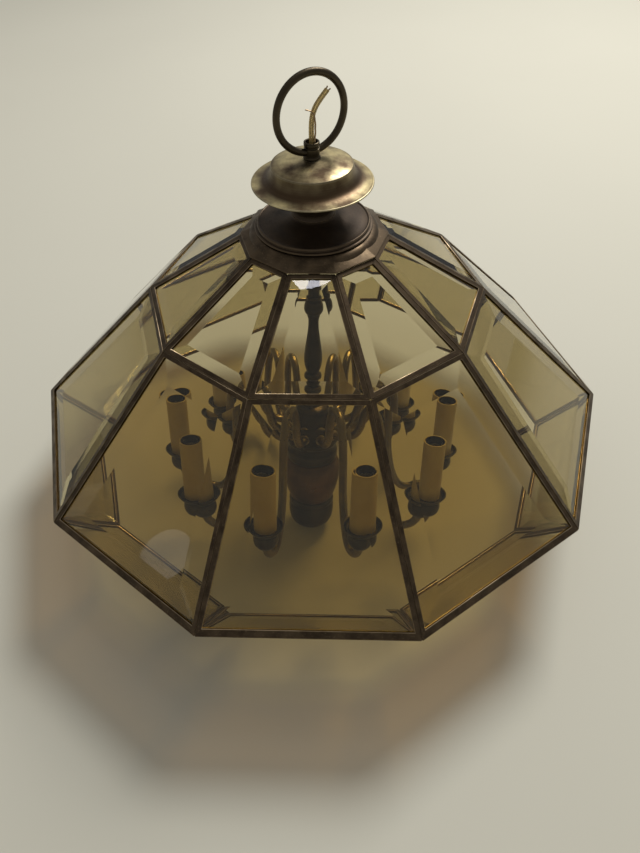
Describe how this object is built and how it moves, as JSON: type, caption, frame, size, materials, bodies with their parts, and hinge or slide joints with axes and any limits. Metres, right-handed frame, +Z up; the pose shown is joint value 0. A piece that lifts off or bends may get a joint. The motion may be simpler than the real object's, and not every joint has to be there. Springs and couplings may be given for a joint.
{
  "type": "pendant lantern",
  "caption": "Ten-sided bevelled smoked-glass pendant lantern with a ring of candle lights hanging inside on a swivel.",
  "frame": {"origin": "inside top of the hanging ring, where a hook or chain link bears", "axes": "+Z up along the cage's axis, -Y towards the side that the cluster's foot leans to, +X to the right seen from there"},
  "size_m": [0.679, 0.656, 0.505],
  "materials": {
    "antique_brass": "antiqued, brushed and lacquered, worn bright on the edges",
    "dark_bronze": "dark bronze patina, satin",
    "came_bronze": "brown bronze patina over rolled channel, satin",
    "smoked_glass": "bronze-smoke tint, polished, bevelled edges",
    "candle_ivory": "ivory card tube, slightly yellowed",
    "steel": "zinc plated",
    "cord_gold": "clear gold lamp-cord insulation",
    "copper": "tarnished bare copper"
  },
  "bodies": {
    "loop": {"hanging_ring": "dark_bronze", "loop_hub": "dark_bronze", "lamp_cord": "cord_gold", "ground_wire": "copper"},
    "cage": {"canopy_cap": "antique_brass", "neck_spool": "dark_bronze", "threaded_stem": "steel", "base_disc": "dark_bronze", "collar_plate": "came_bronze", "lock_nut": "steel", "swivel_yoke": "dark_bronze", "skirt_came_frame": "came_bronze", "middle_came_frame": "came_bronze", "upper_came_frame": "came_bronze", "skirt_glass": "smoked_glass", "middle_pane_1": "smoked_glass", "middle_pane_2": "smoked_glass", "middle_pane_3": "smoked_glass", "middle_pane_4": "smoked_glass", "middle_pane_5": "smoked_glass", "middle_pane_6": "smoked_glass", "middle_pane_7": "smoked_glass", "middle_pane_8": "smoked_glass", "middle_pane_9": "smoked_glass", "middle_pane_10": "smoked_glass", "upper_pane_1": "smoked_glass", "upper_pane_2": "smoked_glass", "upper_pane_3": "smoked_glass", "upper_pane_4": "smoked_glass", "upper_pane_5": "smoked_glass", "upper_pane_6": "smoked_glass", "upper_pane_7": "smoked_glass", "upper_pane_8": "smoked_glass", "upper_pane_9": "smoked_glass", "upper_pane_10": "smoked_glass"},
    "swivel": {"swivel_block": "steel"},
    "cluster": {"column": "dark_bronze", "arm_hub": "dark_bronze", "hub_urn": "antique_brass", "lower_cup": "dark_bronze", "arm_1": "antique_brass", "arm_2": "antique_brass", "arm_3": "antique_brass", "arm_4": "antique_brass", "arm_5": "antique_brass", "arm_6": "antique_brass", "arm_7": "antique_brass", "arm_8": "antique_brass", "arm_9": "antique_brass", "arm_10": "antique_brass", "candle_sleeve_1": "candle_ivory", "candle_sleeve_2": "candle_ivory", "candle_sleeve_3": "candle_ivory", "candle_sleeve_4": "candle_ivory", "candle_sleeve_5": "candle_ivory", "candle_sleeve_6": "candle_ivory", "candle_sleeve_7": "candle_ivory", "candle_sleeve_8": "candle_ivory", "candle_sleeve_9": "candle_ivory", "candle_sleeve_10": "candle_ivory"}
  },
  "joints": [
    {"name": "cage_turn", "type": "hinge", "parent": "loop", "child": "cage", "pos_m": [0, 0, -0.0707], "axis": [0, 0, 1], "range_deg": [-180, 180]},
    {"name": "lean_fore_aft", "type": "hinge", "parent": "cage", "child": "swivel", "pos_m": [0, 0, -0.1655], "axis": [1, 0, 0], "range_deg": [-1, 36]},
    {"name": "lean_sideways", "type": "hinge", "parent": "swivel", "child": "cluster", "pos_m": [0, 0, -0.1655], "axis": [0, 0.9537, -0.3007], "range_deg": [-8.3, 3.7]}
  ]
}
